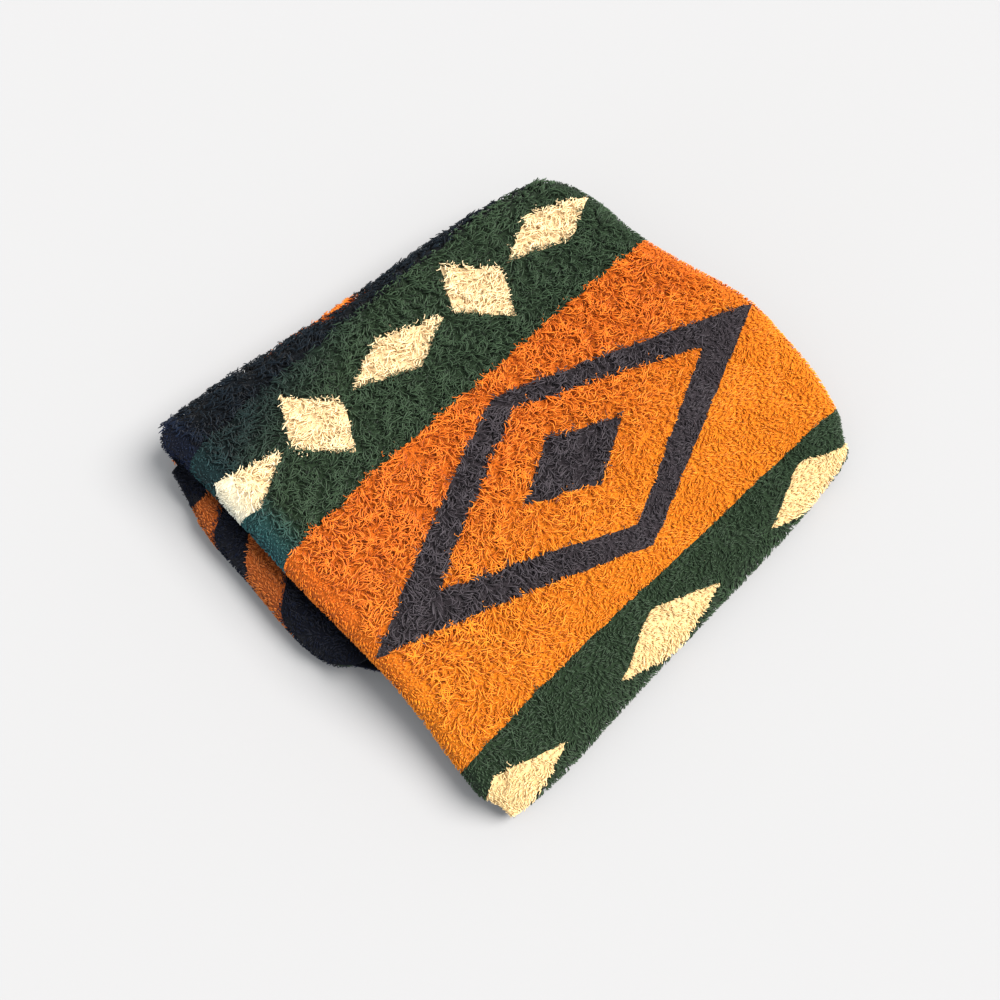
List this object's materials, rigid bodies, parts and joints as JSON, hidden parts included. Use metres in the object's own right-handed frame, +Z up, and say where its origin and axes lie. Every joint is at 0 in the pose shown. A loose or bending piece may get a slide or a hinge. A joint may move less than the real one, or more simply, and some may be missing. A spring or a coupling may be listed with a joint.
{
  "type": "folded southwestern blanket",
  "caption": "Plush blanket with southwestern bands and diamonds, folded to a flat packet with one rolled side and turned-down ends.",
  "frame": {"origin": "middle of the packet's outline, on the surface that it rests on", "axes": "+X along the bands, +Y towards the rolled fold, +Z up"},
  "size_m": [0.5606, 0.5076, 0.0769],
  "materials": {
    "plush": "brushed acrylic plush with a soft wavy pile, orange, dark green, cream and charcoal"
  },
  "bodies": {
    "root": {"blanket": "plush"}
  },
  "joints": []
}
